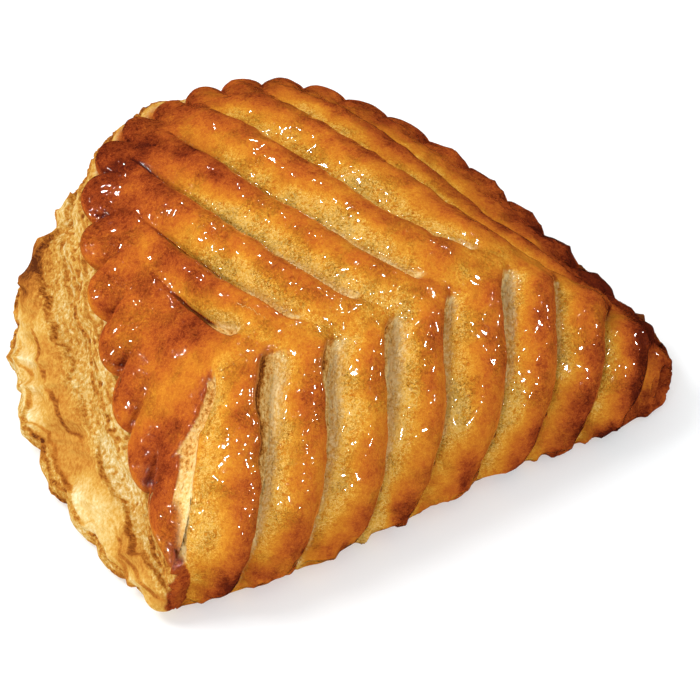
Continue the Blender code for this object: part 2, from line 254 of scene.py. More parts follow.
class Edge:
    """What varies round the turnover's edge, sampled finely and read at any column."""

    def __init__(self):
        arc_count = ARC_COLUMNS * SAMPLES
        self.count = COLUMNS * SAMPLES
        step = np.linspace(0.0, 1.0, 500)
        arc_share = np.interp(np.arange(arc_count) / arc_count * LOBES, along(LOBE_COUNTS, step), step)
        fold_share = np.arange(self.count - arc_count) / (self.count - arc_count)
        self.share = np.concatenate([arc_share, 1 - fold_share])
        self.on_arc = np.arange(self.count) < arc_count
        self.lobe_place = np.arange(self.count) / arc_count * LOBES
        plan = np.concatenate([self.arc(arc_share), self.fold(1 - fold_share)])
        self.outline = smooth_ring(plan, 1.1)
        self.reach = np.linalg.norm(self.outline - CENTRE, axis=1)
        self.arc_weight = smooth_ring(self.on_arc.astype(float), 1.0)
        self.back_weight = smooth_ring(self.on_arc.astype(float), 5.0)
        self.rim_height = self.stations(RIM_HEIGHTS)
        self.lip_height = self.stations(LIP_HEIGHTS)
        self.rim_inset = self.stations(RIM_INSETS) * self.arc_weight
        self.lip_inset = self.stations(LIP_INSETS)
        self.tuck = along(TUCKS, self.share)
        depth = self.stations(LOBE_DEPTHS)
        self.notch = depth / max(LOBE_DEPTHS)
        self.scallops = (LOBE_REACH + depth * (self.wave() - 1)) * self.arc_weight

    def arc(self, share):
        """Plan of the round edge: half of a squarish oval, by length from the left corner."""
        angle = np.linspace(np.pi, 0.0, 4001)
        cosine, sine = np.cos(angle), np.sin(angle)
        x = FOLD_LENGTH / 2 * np.sign(cosine) * np.abs(cosine) ** (2 / OUTLINE_POWER)
        y = DEPTH * np.abs(sine) ** (2 / OUTLINE_POWER)
        length = np.concatenate([[0.0], np.cumsum(np.hypot(np.diff(x), np.diff(y)))])
        wanted = share * length[-1]
        return np.stack([np.interp(wanted, length, x), np.interp(wanted, length, y)], 1)

    def fold(self, share):
        """Plan of the fold's front, bowed out by FOLD_FRONT."""
        return np.stack([FOLD_LENGTH * (share - 0.5), along(FOLD_FRONT, share)], 1)

    def stations(self, values):
        """Station values along the round edge, and an even run between the end values along the fold."""
        on_fold = values[0] + (values[-1] - values[0]) * self.share
        return smooth_ring(np.where(self.on_arc, along(values, self.share), on_fold), 1.6)

    def wave(self, shift=0.0):
        """0 in the notches between the scallops and 1 on their crests."""
        return np.abs(np.sin(np.pi * (self.lobe_place + shift))) ** LOBE_ROUNDNESS

    def lobes(self, shift=0.0):
        """The same on the round edge, and 0 all along the fold."""
        return np.clip(self.wave(shift) * self.arc_weight, 0.0, 1.0)

    def ring(self, inset, height, outward=0.0):
        """The outline drawn in towards the centre by inset and out again by outward, at a height."""
        share = 1 - (inset - outward) / self.reach
        plan = CENTRE + (self.outline - CENTRE) * share[:, None]
        return np.concatenate([plan, np.broadcast_to(height, share.shape)[:, None]], 1)

    def read(self, values, column):
        """Values of the fine samples at columns, which may be fractions."""
        position = np.mod(column, COLUMNS) * SAMPLES
        index = position.astype(int) % self.count
        part = position - np.floor(position)
        if values.ndim > 1:
            part = part[..., None]
        return values[index] * (1 - part) + values[(index + 1) % self.count] * part


EDGE = Edge()
PLAIN_RIM = EDGE.ring(EDGE.rim_inset, EDGE.rim_height)
SCALLOPED_RIM = EDGE.ring(EDGE.rim_inset, EDGE.rim_height, EDGE.scallops)


# ---- Leaf pattern ----


def crown(x):
    """Height of the dome above the table."""
    return rounded_line(x, CROWN_X, CROWN_HEIGHTS, 3.0)


def vein_offset(start, girth):
    """How far along X a vein has drifted from its start, at a distance over the surface from the spine."""
    back = np.maximum(girth, 0.0)
    hook = BACK_HOOK * (1 - np.exp(-back / BACK_HOOK_LENGTH))
    front = FRONT_SWEEP * np.maximum(-girth, 0.0) * np.interp(start, FRONT_FAN_X, FRONT_FAN)
    return front + (BACK_SWEEP * back + hook) * np.interp(start, BACK_FAN_X, BACK_FAN)


def leaf_coordinates(points):
    """Where points lie in the leaf pattern: the place on the spine that their vein starts from, and how far
    they are from the spine over the surface, positive to the back."""
    x, y, z = points[..., 0], points[..., 1], points[..., 2]
    start = x
    for _ in range(6):
        away = y - rounded_line(start, SPINE_X, SPINE_Y, 2.0)
        fall = np.maximum(crown(x) - z, 0.0) * smoothstep(0.0, SPINE_EASE, -away)
        girth = np.where(away >= 0, away, GIRTH_SCALE * (away - fall))
        start = x + vein_offset(start, girth)
    return start, girth


def part_between(start, veins):
    """Share of the way from one vein to the next."""
    step = veins[1] - veins[0]
    ends = veins[0] - 3 * step, veins[0] - 1.4 * step, 2 * veins[-1] - veins[-2]
    place = np.interp(start, (*ends[:2], *veins, ends[2]), (-0.45, -0.4, *range(len(veins) + 1)))
    return place - np.floor(place)


def drift_rate(points, normal):
    """How fast the place on the spine changes over a surface with that normal, per millimetre."""
    here = leaf_coordinates(points)[0]
    change = [(leaf_coordinates(points + step)[0] - here) / 0.1 for step in np.eye(3) * 0.1]
    change = np.stack(change, -1)
    change -= normal * (normal * change).sum(-1, keepdims=True)
    return np.linalg.norm(change, axis=-1)


class Leaf:
    """The leaf pattern on a grid of points of the crust: pillows between the veins, and slashes along them.

    Of the nearest slash it keeps offset, how far a point lies to its right in millimetres, half_width,
    strength and depth, from 0 to 1, and opened, 1 where it gapes and 0 where it is only a crease.
    """

    def __init__(self, points, normal):
        self.start, self.girth = leaf_coordinates(points)
        self.height = points[..., 2]
        self.per_mm = np.clip(drift_rate(points, normal), 0.3, 1.6)
        self.wobble = 1 + 0.35 * MOTTLE.layered(points + 90.0, 5.0, 2)
        start = self.start + (0.5 * WANDER(points, 11.0) + 0.25 * WANDER(points + 40.0, 3.5)) * self.per_mm
        front_part = part_between(start, FRONT_VEINS)
        back_part = part_between(start, BACK_VEINS)
        back = 0.5 + 0.5 * np.tanh(self.girth / 2.5)
        self.part = np.where(self.girth >= 0, back_part, front_part)
        self.swell = self.pillow(front_part) * (1 - back) + self.pillow(back_part) * back
        self.offset = np.full_like(start, 9.0)
        self.half_width = np.ones_like(start)
        self.strength = np.zeros_like(start)
        self.opened = np.zeros_like(start)
        for vein, half_widths in zip(FRONT_VEINS, FRONT_HALF_WIDTHS):
            self.slash_front(vein, half_widths, start)
        for slash in zip(BACK_VEINS, BACK_STARTS, BACK_ENDS):
            self.slash_back(*slash, start)
        self.opened *= 1 - smoothstep(4.2, 5.0, np.abs(self.offset))
        across = self.offset / self.half_width
        section = smoothstep(-1.3, -0.85, across) * (1 - smoothstep(-0.6, 1.5, across))
        narrow = np.sqrt(np.clip(self.half_width / 2, 0.0, 1.0))
        self.depth = section * self.strength * (0.65 + 0.35 * self.opened) * narrow
        self.depth[np.abs(self.offset) > 5.0] = 0.0

    def pillow(self, part):
        """Section of a rib: it rises slowly from its vein and drops to the next."""
        return np.sin(np.pi * part**RIB_LEAN) ** 0.7

    def slash_front(self, vein, half_widths, start):
        strength = smoothstep(FRONT_START - 1.0, FRONT_START + 3.5, -self.girth)
        bared = strength
        if vein == FRONT_VEINS[0]:
            bared = strength * smoothstep(*FIRST_BARED_FADE, self.height)
            strength = strength * smoothstep(*FIRST_GROOVE_FADE, self.height)
        upper, lower = half_widths
        half_width = upper + (lower - upper) * smoothstep(10.0, 42.0, -self.girth)
        half_width = half_width * self.wobble * (0.6 + 0.4 * strength)
        opened = bared * smoothstep(0.45, 1.1, half_width)
        self.add(start - vein, self.girth < 0, strength, half_width, opened)

    def slash_back(self, vein, first, last, start):
        opening = smoothstep(first - 1.5, first + 2.5, self.girth)
        closing = 1 - smoothstep(first + 0.1 * (last - first), first + 0.5 * (last - first), self.girth)
        fading = 1 - smoothstep(last - 6.0, last + 2.0, self.girth)
        gaping, closed = BACK_HALF_WIDTHS
        half_width = (closed + (gaping - closed) * closing) * self.wobble
        self.add(start - vein, self.girth >= 0, opening * fading, half_width, opening * closing)

    def add(self, offset, here, strength, half_width, opened):
        """Keeps a slash where it is the nearest."""
        offset = offset / self.per_mm
        nearer = here & (np.abs(offset) < np.abs(self.offset))
        values = ("offset", offset), ("half_width", half_width), ("strength", strength), ("opened", opened)
        for name, value in values:
            setattr(self, name, np.where(nearer, value, getattr(self, name)))


# ---- Glazed top ----


def top_point(column, reach):
    """A point of the smooth top sheet: reach is 0 at the centre and 1 on the rim."""
    plain = EDGE.read(PLAIN_RIM, column)
    scalloped = EDGE.read(SCALLOPED_RIM, column)
    near_rim = np.clip((reach - 0.8) / 0.2, 0.0, 1.0)[..., None] ** 2
    rim = plain + (scalloped - plain) * near_rim
    plan = CENTRE + reach[..., None] * (rim[..., :2] - CENTRE)
    roundness = 0.5 + 0.5 * EDGE.read(EDGE.back_weight, column)
    fullness = (1 - np.minimum(reach, 1.0) ** DOME_POWER) ** roundness
    height = rim[..., 2] + (crown(plan[..., 0]) - rim[..., 2]) * fullness
    return np.concatenate([plan, height[..., None]], -1)


def disc_grid():
    """A square grid laid over a disc: the column and reach of each grid point."""
    line = np.linspace(-1.0, 1.0, GRID + 1)
    a, b = np.meshgrid(line, line, indexing="ij")
    reach = np.maximum(np.abs(a), np.abs(b))
    safe = np.maximum(reach, 1e-9)
    s, t = a / safe, b / safe
    sides = [(t <= -1) & (s < 1), (s >= 1) & (t < 1), (t >= 1) & (s > -1)]
    turn = np.select(sides, [(s + 1) / 8, 0.25 + (t + 1) / 8, 0.5 + (1 - s) / 8], 0.75 + (1 - t) / 8)
    return np.mod(turn, 1.0) * COLUMNS, reach


def unit(vectors):
    return vectors / np.maximum(np.linalg.norm(vectors, axis=-1, keepdims=True), 1e-9)


def creases(points, size, sharpness=2.0):
    """Creased paper: 1 on its sharp ridges, and 0 in the hollows between them."""
    return (1 - np.abs(WANDER(points, size))) ** sharpness


def browned(points):
    """How much darker the crust is round the places that browned more."""
    total = 0.0
    for place, radius, amount in BROWNED:
        away = np.linalg.norm(points - np.array(place), axis=-1)
        total = total + amount * bell(away, radius)
    return total


class EdgeHere:
    """The edge's values at columns: how much they belong to the round edge, 0 to 1 up the scallops, 1 in the
    notches between them, and how deep those notches are."""

    def __init__(self, column):
        self.arc = EDGE.read(EDGE.arc_weight, column)
        self.lobe = EDGE.read(EDGE.lobes(), column)
        self.notch = 1 - EDGE.read(EDGE.wave(), column)
        self.deep = EDGE.read(EDGE.notch, column)


def rim_share(points, from_rim, arc):
    """0 at the rim and 1 well away from it, where the leaf pattern is at its full height."""
    left = smoothstep(10.0, -20.0, points[..., 0])
    return 1 - arc * (1 - smoothstep(0.0, 18.0, from_rim - 9.0 * left))


def spine_share(leaf):
    """0.15 on the spine and 1 away from it."""
    return np.clip(np.abs(leaf.girth - 1.0) / 8.0, 0.15, 1.0)


def foot_and_tip(points, arc):
    """1 at the foot of the fold, and 1 on the right tip."""
    foot = (1 - smoothstep(4.0, 14.0, points[..., 2])) * (1 - arc)
    return foot, smoothstep(42.0, 62.0, points[..., 0])


def crust_relief(points, leaf, from_rim, edge):
    """Pillows, scallops' notches and creased crust, without the slashes."""
    foot, tip = foot_and_tip(points, edge.arc)
    pillows = (leaf.swell - 0.6) * spine_share(leaf) * rim_share(points, from_rim, edge.arc)
    relief = RIB_HEIGHT * pillows * smoothstep(0.5, 8.0, points[..., 2])
    relief -= NOTCH_DEPTH * edge.deep * (1 - edge.lobe) ** 1.3 * edge.arc * np.exp(-from_rim / 3.5)
    relief += 0.6 * edge.deep * edge.lobe * edge.arc * bell(from_rim - 3.5, 3.0)
    relief += 1.1 * LUMPS.layered(points, 14.0) + 0.6 * MOTTLE.layered(points, 6.0)
    relief += 0.16 * creases(points, 2.6)
    return relief + 1.3 * (foot + tip) * (creases(points * (1.0, 1.0, 0.4), 4.0) - 0.5)


def crust_bake(points, leaf, from_rim, edge):
    """How far the glazed crust is baked, from 0 for pale to 1 for burnt."""
    x, height, arc = points[..., 0], points[..., 2], edge.arc
    left_fade = 0.6 + 0.4 * smoothstep(-30.0, 0.0, x - 0.8 * leaf.girth + 40.0)
    faded = rim_share(points, from_rim, arc) * left_fade
    rib = 0.38 * smoothstep(0.08, 0.62, leaf.part) + 0.10 * smoothstep(0.75, 1.0, leaf.part)
    bake = 0.50 + (rib - 0.31) * faded
    bake += (0.38 - bake) * (1 - smoothstep(0.15, 1.0, spine_share(leaf))) * 0.8
    bake += 0.05 + 0.16 * BAKING.layered(points, 15.0, 2) + 0.16 * MOTTLE.layered(points + 60.0, 5.0, 3)
    back = np.exp(-from_rim / 12.0) * smoothstep(-20.0, 30.0, x)
    bake += arc * (0.10 * np.exp(-from_rim / 8.0) + 0.08 * back)
    bake += 0.09 * smoothstep(15.0, 35.0, x) + 0.17 * smoothstep(38.0, 60.0, x) * (1 - 0.8 * arc)
    # Painted shade: darker in the notches between the scallops near the rim
    bake += 0.16 * edge.notch**1.5 * arc * np.exp(-from_rim / 4.0)
    bake += browned(points)
    low = (1 - smoothstep(5.0, 26.0, height)) * (1 - arc)
    return bake + low * (0.12 + 0.45 * MOTTLE.layered(points * (1.0, 1.0, 0.35), 4.0))


def crust_fields(points, normal, from_rim, column):
    """Relief and baking of glazed crust at points of the smooth form."""
    leaf = Leaf(points, normal)
    edge = EdgeHere(column)
    off_border = 1 - edge.arc * (1 - smoothstep(3.0, 9.0, from_rim))
    cut_here = smoothstep(1.0, 5.0, points[..., 2]) * off_border
    grit = 0.35 * leaf.opened * MOTTLE.layered(points, 1.6, 2)
    relief = crust_relief(points, leaf, from_rim, edge) - (SLASH_DEPTH + grit) * leaf.depth * cut_here
    bake = crust_bake(points, leaf, from_rim, edge)
    foot, tip = foot_and_tip(points, edge.arc)
    cut_layers = [0.5 * leaf.girth, leaf.offset, leaf.start - leaf.offset * leaf.per_mm]
    return relief, {
        "bake": bake,
        "dry": np.zeros_like(bake),
        "tone": 0.32 + 0.2 * MOTTLE.layered(points + 20.0, 6.0) + 0.2 * tip + 0.1 * foot,
        "layered": np.zeros_like(bake),
        "strata": np.stack(cut_layers, -1),
        "slash": np.stack([leaf.offset, leaf.half_width, leaf.opened * cut_here], -1),
        "creased": leaf.strength * (1 - leaf.opened) * (np.abs(leaf.offset) < 4.0) * cut_here,
    }


# ---- Layered side ----


def side_rows(scallops=1.0):
    """Rings down the layered wall and the fold, from rim to underside, and how far down each one comes."""
    rim, lip, inset, lip_inset = EDGE.rim_height, EDGE.lip_height, EDGE.rim_inset, EDGE.lip_inset
    drop = rim - lip
    scallop = EDGE.scallops * scallops
    lobe, half_lobe = EDGE.lobes() * scallops, EDGE.lobes(0.5) * scallops
    flap = FLAP_REACH * np.maximum(1 - np.abs(EDGE.lobe_place - FLAP_PLACE) / FLAP_HALF_WIDTH, 0.0)
    swell = BACK_SWELL_REACH * bell(EDGE.lobe_place - BACK_SWELL_PLACE, BACK_SWELL_WIDTH)
    rows = (
        # place, inset and height on the wall, scallop, share of the rim's height on the fold
        (0.00, inset, rim, scallop, 1.0),
        (0.03, inset - 0.7, rim - 1.1, scallop, 0.94),
        (0.07, inset - 0.4, rim - 2.7, scallop, 0.86),
        (0.11, inset + 1.5, rim - 4.2, 0.6 * scallop + swell, 0.78),
        (0.26, 0.86 * inset - 0.4, rim - 0.28 * drop, 1.0 * half_lobe + swell, 0.62),
        (0.42, 0.66 * inset + 0.6, rim - 0.44 * drop, 0.2 * lobe + 0.2 * flap + 0.7 * swell, 0.51),
        (0.53, 0.40 * inset - 0.2, rim - 0.56 * drop, 0.5 * half_lobe + flap + 0.4 * swell, 0.41),
        (0.70, 0.12 * inset + 0.3, rim - 0.80 * drop, 0.5 * lobe + 0.5 * flap, 0.31),
        (0.80, lip_inset + 0.3, lip + 4.0, LIP_LOBE_DEPTH * lobe, 0.21),
        (0.87, lip_inset, lip + 1.2, LIP_LOBE_DEPTH * lobe, 0.12),
        (0.94, 5.0, 0.45 * lip, 0.0 * lobe, 0.04),
        (1.00, UNDERSIDE_INSET, 0.0 * lip, 0.0 * lobe, 0.0),
    )
    arc = EDGE.arc_weight
    places, rings = [], []
    for place, wall_inset, wall_height, outward, fold_share in rows:
        fold_inset = EDGE.tuck * (1 - np.sqrt(1 - (1 - fold_share) ** 2))
        inset_here = wall_inset * arc + fold_inset * (1 - arc)
        height = wall_height * arc + fold_share * rim * (1 - arc)
        places.append(place)
        rings.append(EDGE.ring(inset_here, height, outward)[::SAMPLES])
    return np.array(places), np.stack(rings)


def ring_normals(points):
    """Outward normals of a stack of closed rings."""
    around = np.roll(points, -1, axis=1) - np.roll(points, 1, axis=1)
    return unit(np.cross(around, np.gradient(points, axis=0)))


def ledges(base, place, depth):
    """The wall's torn layers: how far they stand out, and how near a point is to one of their brown edges."""
    relief = np.zeros(depth.shape)
    edge = np.zeros(depth.shape)
    for number, (line, height, reach, wander) in enumerate(LEDGES):
        row = int(np.searchsorted(place, line))
        ring = base[row] + 17.0 * number
        jags = LUMPS(ring, 9.0) + 0.6 * LUMPS(ring, 3.7) + 0.35 * LUMPS(ring, 1.7)
        torn = smoothstep(-0.35, 0.25, BAKING(ring, 13.0)) * height * (0.7 + 0.3 * MOTTLE(ring, 4.0))
        edge_depth = depth[row] + wander * depth[-1] * jags
        below = depth - edge_depth[None]
        stands = smoothstep(-0.1, 0.35, below) * np.exp(-np.maximum(below, 0.0) / reach)
        relief += torn[None] * stands
        edge = np.maximum(edge, torn[None] / height * bell(below - 0.1, 0.25))
    return relief, edge


class Wall:
    """The smooth wall and fold as a grid: rows down from the rim, columns round the edge. It keeps how far
    down each point is (0 to 1, and in millimetres), the zones of the wall, and its folds and pits."""

    def __init__(self):
        place = np.linspace(0.0, 1.0, WALL_ROWS + 1)
        places, rings = side_rows()
        level = np.interp(place, places, np.arange(len(places)) / (len(places) - 1))
        self.base = along(rings, level)
        self.direction = ring_normals(along(side_rows(0.0)[1], level))
        self.column = np.broadcast_to(np.arange(COLUMNS, dtype=float), self.base.shape[:2])
        steps = np.linalg.norm(np.diff(self.base, axis=0, prepend=self.base[:1]), axis=-1)
        self.depth = np.cumsum(steps, axis=0)
        self.down = np.broadcast_to(place[:, None], self.depth.shape)
        self.drift = LUMPS.layered(self.base, 8.0)
        self.edge = EdgeHere(self.column)
        self.layer_relief, self.torn_edge = ledges(self.base, place, self.depth)
        self.split()
        slanted = self.base @ WALL_SLANT
        self.folds = creases(slanted, 8.0, 1.5) + 0.4 * creases(slanted + 30.0, 4.0, 1.5) - 0.75
        self.pits = smoothstep(0.1, 0.7, MOTTLE(self.base, 1.1))

    def split(self):
        """The zones down the wall: pitted layers under the rim, the seam, the smooth bulge and the lip."""
        down = self.down
        level = down + 0.03 * self.drift
        self.under_rim = smoothstep(0.09, 0.12, down) * (1 - smoothstep(0.29, 0.36, level))
        self.bulge = smoothstep(0.48, 0.54, level) * (1 - smoothstep(0.74, 0.79, level))
        self.lip = smoothstep(0.74, 0.79, level) * (1 - smoothstep(0.90, 0.94, down))
        rest = np.clip(1 - self.under_rim - self.bulge - self.lip, 0.0, 1.0)
        self.seam = rest * smoothstep(0.2, 0.3, down) * (1 - smoothstep(0.5, 0.8, down))

    def relief(self):
        """Torn ledges, folds and pits of the layered wall."""
        exposed = smoothstep(0.085, 0.12, self.down)
        relief = self.layer_relief * exposed
        relief += (2.4 * self.bulge + 0.9 * self.lip + 0.9 * self.seam + 0.5 * self.under_rim) * self.folds
        relief -= 0.45 * self.pits * (self.under_rim + 0.4 * self.seam + 0.3 * self.lip)
        lumps = 1.6 * LUMPS.layered(self.base, 12.0, 2) + 0.2 * MOTTLE.layered(self.base, 3.0)
        return relief + lumps * exposed

    def tone(self):
        """How far the bare layers are browned, from 0 for cream to 1, with painted light and shade on the
        bulge's folds and in the pits.
        """
        down, pits = self.down, self.pits
        patches = BAKING.layered(self.base, 16.0)
        # Darker in the pits: painted shade in the pores
        tone = self.under_rim * (0.26 + 0.3 * pits + 0.2 * patches)
        tone += self.seam * (0.24 + 0.15 * pits + 0.3 * patches)
        # Painted highlights on the ridges of the bulge's folds and painted shade in their hollows
        bulge_tone = 0.30 - 1.2 * (down - 0.64) + 0.6 * patches - 0.3 * self.folds
        tone += self.bulge * np.clip(bulge_tone, 0.0, 0.48)
        tone += self.lip * (0.20 + 0.22 * (1 - self.edge.lobe) + 0.3 * patches)
        lobe_place = self.column / ARC_COLUMNS * LOBES
        flap = bell(lobe_place - FLAP_PLACE, 0.45) * bell(down - 0.55, 0.08)
        back_swell = bell(lobe_place - BACK_SWELL_PLACE, 1.5) * (1 - smoothstep(0.15, 0.35, down))
        tone += 0.42 * self.torn_edge * (1 - 0.3 * self.under_rim) + 0.38 * flap + 0.18 * back_swell
        return tone + 0.12 - 0.10 * down + 0.40 * smoothstep(34.0, 60.0, self.base[..., 0])

    def bare(self):
        """1 where no glaze came: the round edge's wall, with ragged borders towards the fold."""
        ragged = 0.25 * MOTTLE.layered(self.base, 5.0) + 0.15 * MOTTLE(self.base, 1.2)
        return smoothstep(0.42, 0.58, self.edge.arc + ragged)


def side_sheet(top_ring, top_fields):
    """The wall, the lip and the fold below the top's edge."""
    wall = Wall()
    arc, down = wall.edge.arc, wall.down
    fold_relief, fields = crust_fields(wall.base, wall.direction, np.zeros_like(wall.depth), wall.column)
    relief = wall.relief() * arc + fold_relief * (1 - smoothstep(0.1, 0.6, arc))
    relief *= 1 - smoothstep(0.90, 0.95, down)
    points = wall.base + wall.direction * relief[..., None]
    points[..., 2] = np.maximum(points[..., 2], 0.0)
    join = np.exp(-wall.depth / 0.9)
    points += (top_ring[None] - points[:1]) * join[..., None]

    bare = wall.bare()
    dry = bare * smoothstep(0.08, 0.105, down + 0.006 * wall.drift)
    tone = wall.tone() * arc + fields["tone"] * (1 - arc)
    tone += (0.55 - tone) * smoothstep(0.92, 0.96, down)
    edge_bake = 0.58 + 0.12 * BAKING(wall.base, 9.0) + 0.1 * smoothstep(0.03, 0.08, down)
    # Painted shade: darker in the notches between the scallops
    edge_bake += 0.15 * wall.edge.notch**1.5
    bake = fields["bake"] * (1 - arc) + edge_bake * arc
    layers = np.stack([wall.column * 0.3, wall.depth + 1.5 * wall.drift, np.zeros_like(arc)], -1)
    return points, {
        "bake": top_fields["bake"][None] * join + bake * (1 - join),
        "dry": np.maximum(dry, smoothstep(0.93, 0.97, down)),
        "tone": tone,
        "layered": bare * (0.25 + 0.4 * wall.under_rim + 0.5 * wall.seam + 0.55 * wall.lip),
        "slash": fields["slash"] * np.stack([np.ones_like(arc), np.ones_like(arc), 1 - arc], -1),
        "creased": fields["creased"] * (1 - arc),
        "strata": np.where(arc[..., None] > 0.5, layers, fields["strata"]),
    }


# ---- Mesh ----


def crust_mesh():
    """Points, faces and fields of the whole turnover as one closed mesh."""
    column, reach = disc_grid()
    base = top_point(column, reach)
    from_rim = (1 - reach) * EDGE.read(EDGE.reach, column)
    normal = unit(np.cross(np.gradient(base, axis=1), np.gradient(base, axis=0)))
    relief, fields = crust_fields(base, normal, from_rim, column)
    top = base + normal * relief[..., None]

    index = np.arange(relief.size).reshape(relief.shape)
    border = np.concatenate([index[:-1, 0], index[-1, :-1], index[:0:-1, -1], index[0, :0:-1]])
    quads = [np.stack([index[:-1, :-1], index[:-1, 1:], index[1:, 1:], index[1:, :-1]], -1).reshape(-1, 4)]
    on_border = {name: values.reshape(index.size, -1)[border].squeeze() for name, values in fields.items()}
    side, side_fields = side_sheet(top.reshape(-1, 3)[border], on_border)

    upper = border
    for row in range(1, len(side)):
        lower = index.size + (row - 1) * COLUMNS + np.arange(COLUMNS)
        quads.append(np.stack([upper, np.roll(upper, -1), np.roll(lower, -1), lower], 1))
        upper = lower
    foot = side[-1].mean(0)
    points = np.concatenate([top.reshape(-1, 3), side[1:].reshape(-1, 3), foot[None]])
    fan = np.stack([upper, np.roll(upper, -1), np.full(COLUMNS, len(points) - 1)], 1)
    faces = np.concatenate(quads).tolist() + fan.tolist()

    merged = {}
    for name, values in side_fields.items():
        flat_top = fields[name].reshape(index.size, -1)
        flat_side = values[1:].reshape((len(side) - 1) * COLUMNS, -1)
        merged[name] = np.concatenate([flat_top, flat_side, flat_side[-1:]]).squeeze()
    return points, faces, merged


def box_middle():
    """Where the CAD frame's origin lies in these coordinates: under the middle of the solid's plan box."""
    plan = side_rows()[1][..., :2].reshape(-1, 2)
    return np.append((plan.min(0) + plan.max(0)) / 2, 0.0)


ORIGIN = box_middle()


# ---- Material ----


class Nodes:
    """Short calls for a material's nodes."""

    def __init__(self, material):
        material.use_nodes = True
        self.tree = material.node_tree
        self.shader = self.tree.nodes["Principled BSDF"]

    def add(self, kind, **settings):
        node = self.tree.nodes.new(kind)
        for name, value in settings.items():
            setattr(node, name, value)
        return node

    def put(self, target, value):
        if hasattr(value, "is_linked"):
            self.tree.links.new(value, target)
        else:
            target.default_value = value

    def field(self, name, output="Fac"):
        return self.add("ShaderNodeAttribute", attribute_name=name).outputs[output]

    def parts(self, vector):
        node = self.add("ShaderNodeSeparateXYZ")
        self.put(node.inputs[0], vector)
        return node.outputs

    def math(self, operation, a, b=0.0, c=0.0, clamp=False):
        node = self.add("ShaderNodeMath", operation=operation, use_clamp=clamp)
        for socket, value in zip(node.inputs, (a, b, c)):
            self.put(socket, value)
        return node.outputs[0]

    def spread(self, value, low, high):
        """How far a value has come from low to high, eased at both ends."""
        node = self.add("ShaderNodeMapRange", interpolation_type="SMOOTHSTEP")
        for socket, number in zip(node.inputs, (value, low, high)):
            self.put(socket, number)
        return node.outputs[0]

    def noise(self, size, detail=2.0, roughness=0.5, vector=None, stretch=None, distortion=0.0):
        """Noise whose features have that size in metres."""
        vector = vector or self.add("ShaderNodeTexCoord").outputs["Object"]
        if stretch:
            mapping = self.add("ShaderNodeMapping")
            mapping.inputs["Scale"].default_value = stretch
            self.put(mapping.inputs["Vector"], vector)
            vector = mapping.outputs[0]
        node = self.add("ShaderNodeTexNoise")
        self.put(node.inputs["Vector"], vector)
        settings = {"Scale": 1 / size, "Detail": detail, "Roughness": roughness, "Distortion": distortion}
        for name, value in settings.items():
            node.inputs[name].default_value = value
        return node.outputs["Fac"]

    def ramp(self, value, stops):
        node = self.add("ShaderNodeValToRGB")
        elements = node.color_ramp.elements
        while len(elements) < len(stops):
            elements.new(0.5)
        for element, (place, colour) in zip(elements, stops):
            element.position = place
            element.color = (*colour, 1.0)
        self.put(node.inputs[0], value)
        return node.outputs[0]

    def mix(self, share, a, b):
        node = self.add("ShaderNodeMix", data_type="RGBA")
        for socket, value in zip((node.inputs[0], node.inputs[6], node.inputs[7]), (share, a, b)):
            self.put(socket, value)
        return node.outputs[2]

    def bump(self, height, distance, strength=1.0, before=None):
        node = self.add("ShaderNodeBump")
        node.inputs["Distance"].default_value = distance
        self.put(node.inputs["Strength"], strength)
        self.put(node.inputs["Height"], height)
        if before:
            self.put(node.inputs["Normal"], before)
        return node.outputs[0]


GLAZE_STOPS = (
    (0.00, (0.87, 0.54, 0.150)),
    (0.18, (0.79, 0.415, 0.055)),
    (0.36, (0.67, 0.270, 0.024)),
    (0.52, (0.57, 0.175, 0.017)),
    (0.66, (0.475, 0.108, 0.015)),
    (0.80, (0.31, 0.053, 0.011)),
    (0.92, (0.17, 0.024, 0.006)),
    (1.00, (0.09, 0.012, 0.005)),
)
DRY_STOPS = (
    (0.00, (0.84, 0.73, 0.46)),
    (0.20, (0.70, 0.50, 0.19)),
    (0.40, (0.60, 0.325, 0.060)),
    (0.60, (0.48, 0.185, 0.027)),
    (0.80, (0.30, 0.090, 0.014)),
    (1.00, (0.11, 0.028, 0.008)),
)
CUT_STOPS = (
    (0.00, (0.94, 0.71, 0.34)),
    (0.30, (0.85, 0.53, 0.16)),
    (0.55, (0.58, 0.24, 0.042)),
    (0.80, (0.28, 0.09, 0.016)),
    (1.00, (0.11, 0.028, 0.008)),
)


class SlashLook:
    """Where a slash shows: gape is where its bare layers do, shade is painted shade on their steep left side,
    the crease line is a painted dark line of shade along a slash that stayed shut, and across is how far a
    point lies over it, from -1 to 1."""

    def __init__(self, n, flecks):
        offset, half_width, opened = n.parts(n.field("slash", "Vector"))
        self.across = n.math("DIVIDE", offset, half_width)
        torn_edge = n.math("MULTIPLY_ADD", n.math("SUBTRACT", flecks, 0.5), 1.2, self.across)
        inside = n.math("SUBTRACT", n.spread(self.across, -1.25, -1.1), n.spread(torn_edge, 0.2, 1.5))
        self.gape = n.math("MULTIPLY", n.math("MAXIMUM", inside, 0.0), n.spread(opened, 0.15, 0.6))
        # Painted shade on the steep left side of a wide slash
        steep = n.math("SUBTRACT", 1.0, n.spread(self.across, -1.05, -0.45))
        self.shade = n.math("MULTIPLY", n.spread(half_width, 1.1, 2.0), steep)
        # Painted shade: a dark line along a slash that stayed shut
        off_line = n.spread(n.math("ABSOLUTE", n.math("ADD", self.across, 0.8)), 0.2, 1.3)
        self.crease_shade = n.math("MULTIPLY", n.math("SUBTRACT", 1.0, off_line), n.field("creased"))


